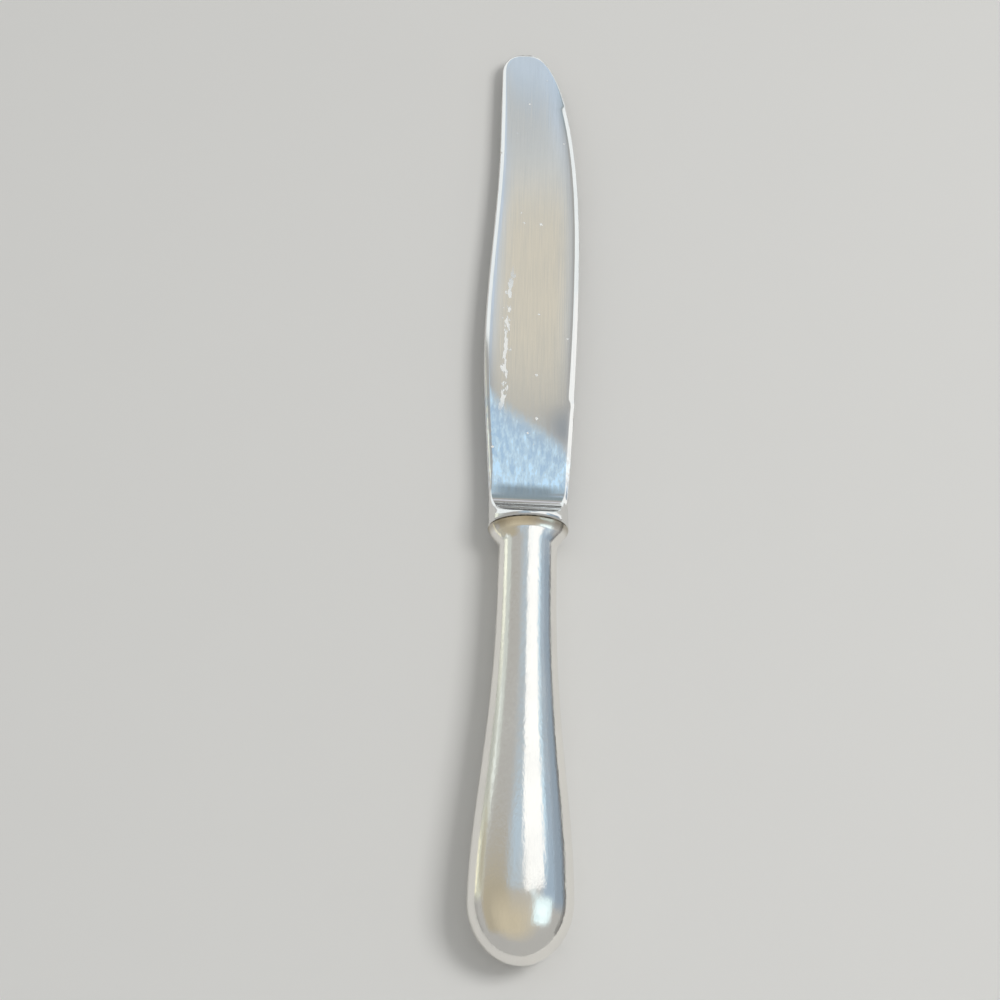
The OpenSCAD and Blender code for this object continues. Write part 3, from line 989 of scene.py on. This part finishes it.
def shine(board, colour, soft):
    finish, tree, shader = newFinish(board.name)
    tree.nodes.remove(shader)
    light = addNode(tree, "ShaderNodeEmission", Color=(*colour, 1), Strength=1)
    clear = addNode(tree, "ShaderNodeBsdfTransparent")
    blend = addNode(tree, "ShaderNodeMixShader", Fac=1)
    if soft:
        across, up = splitPlace(tree)
        stops = (-boardEdge, soft - boardEdge, boardEdge - soft, boardEdge)
        faded = combine(tree, "MULTIPLY", between(tree, across, stops), between(tree, up, stops))
        tree.links.new(faded, blend.inputs["Fac"])
    tree.links.new(clear.outputs["BSDF"], blend.inputs[1])
    tree.links.new(light.outputs["Emission"], blend.inputs[2])
    tree.links.new(blend.outputs["Shader"], tree.nodes["Material Output"].inputs["Surface"])
    dress(board, finish)


def addGlow(name, place, turn, size, colour, soft):
    glow = addBoard(name, place, turn, size)
    forMirrors(glow)
    shine(glow, colour, soft)


def addFan(name, low, high):
    centre = (0, fanForm["distance"], 0)
    startClean()
    bpy.ops.mesh.primitive_circle_add(vertices=fanForm["facets"], radius=fanForm["radius"], fill_type="NGON",
                                      location=centre, rotation=(math.pi / 2, 0, 0))
    fan = bpy.context.object
    fan.name = name
    bpy.ops.object.mode_set(mode="EDIT")
    for angle, side in ((math.radians(low), 1), (math.radians(high), -1)):
        bpy.ops.mesh.select_all(action="SELECT")
        bpy.ops.mesh.bisect(plane_co=centre, clear_inner=True,
                            plane_no=(side * math.cos(angle), 0, -side * math.sin(angle)))
    bpy.ops.object.mode_set(mode="OBJECT")
    forMirrors(fan)
    shine(fan, fanForm["colour"], 0)


def addFlag(name, place, turn, size, dark, fadeFrom):
    flag = addBoard(name, place, turn, size)
    forMirrors(flag)
    finish, tree, shader = newFinish(name)
    shader.inputs["Base Color"].default_value = (*flagLook["black"], 1)
    shader.inputs["Roughness"].default_value = flagLook["roughness"]
    up = splitPlace(tree)[1]
    tree.links.new(spread(tree, up, (fadeFrom, boardEdge), (dark, 0)), shader.inputs["Alpha"])
    dress(flag, finish)


def makeLight():
    room = bpy.data.worlds.new("studio_room")
    bpy.context.scene.world = room
    room.use_nodes = True
    room.node_tree.nodes["Background"].inputs["Color"].default_value = (*roomColour, 1)
    addPanel("key_panel", **keyPanel)
    for boards in (handleBoards, bladeBoards):
        for name, board in boards.items():
            addGlow(name, *board)
    for name, angles in fans.items():
        addFan(name, *angles)
    for name, flag in flags.items():
        addFlag(name, *flag)


# Camera, as the photo was taken

cameraForm = {
    "focal": 2899.5,         # in pixels
    "frame": 1000,           # width of the frame in pixels
    "sensor": 36,            # and in mm
    "tilt": 32.202,          # degrees from straight down
    "roll": 1.592,
    "distance": 0.65586,
    "aim": (-0.00648, -0.00895, 0.004),
    "nearest": 0.01,
}


def makeCamera():
    tilt, roll = math.radians(cameraForm["tilt"]), math.radians(cameraForm["roll"])
    back = Vector((0, -math.sin(tilt), math.cos(tilt)))
    across = Vector((1, 0, 0))
    ahead = back.cross(across)
    right = math.cos(roll) * across + math.sin(roll) * ahead
    up = math.cos(roll) * ahead - math.sin(roll) * across
    lens = bpy.data.cameras.new("photo_camera")
    lens.sensor_width = cameraForm["sensor"]
    lens.lens = cameraForm["sensor"] * cameraForm["focal"] / cameraForm["frame"]
    lens.clip_start = cameraForm["nearest"]
    camera = bpy.data.objects.new("photo_camera", lens)
    bpy.context.scene.collection.objects.link(camera)
    turn = Matrix((right, up, back)).transposed().to_4x4()
    place = Vector(cameraForm["aim"]) + cameraForm["distance"] * back
    camera.matrix_world = Matrix.Translation(place) @ turn
    bpy.context.scene.camera = camera


knifeBlade = makeBlade()
print("blade:", len(knifeBlade.data.polygons), "faces")
skin = makeHandleSkin()
upperHalf = makeHandleHalf(skin, "handle_upper_half", True)
lowerHalf = makeHandleHalf(skin, "handle_lower_half", False)
bpy.data.objects.remove(skin)
print("handle halves:", len(upperHalf.data.polygons), len(lowerHalf.data.polygons), "faces")

steel, silver = satinSteel(), silverPlate()
dress(knifeBlade, steel)
dress(upperHalf, silver)
dress(lowerHalf, silver)
solder = tarnishedSolder()
dress(frame["nodes"]["seam_solder"], solder)
dress(frame["nodes"]["neck_solder"], solder)
dress(frame["nodes"]["handle_filling"], handleCement())
print("finishes done")

for piece, node, slot in ((knifeBlade, "blade", "blade_steel"), (upperHalf, "handle_front", "silver_plate"),
                          (lowerHalf, "handle_back", "silver_plate")):
    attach(piece, "root")
    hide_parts(node)

makeFloor()
makeLight()
makeCamera()
bpy.context.scene.view_settings.view_transform = "Standard"
print("floor, light and camera done")
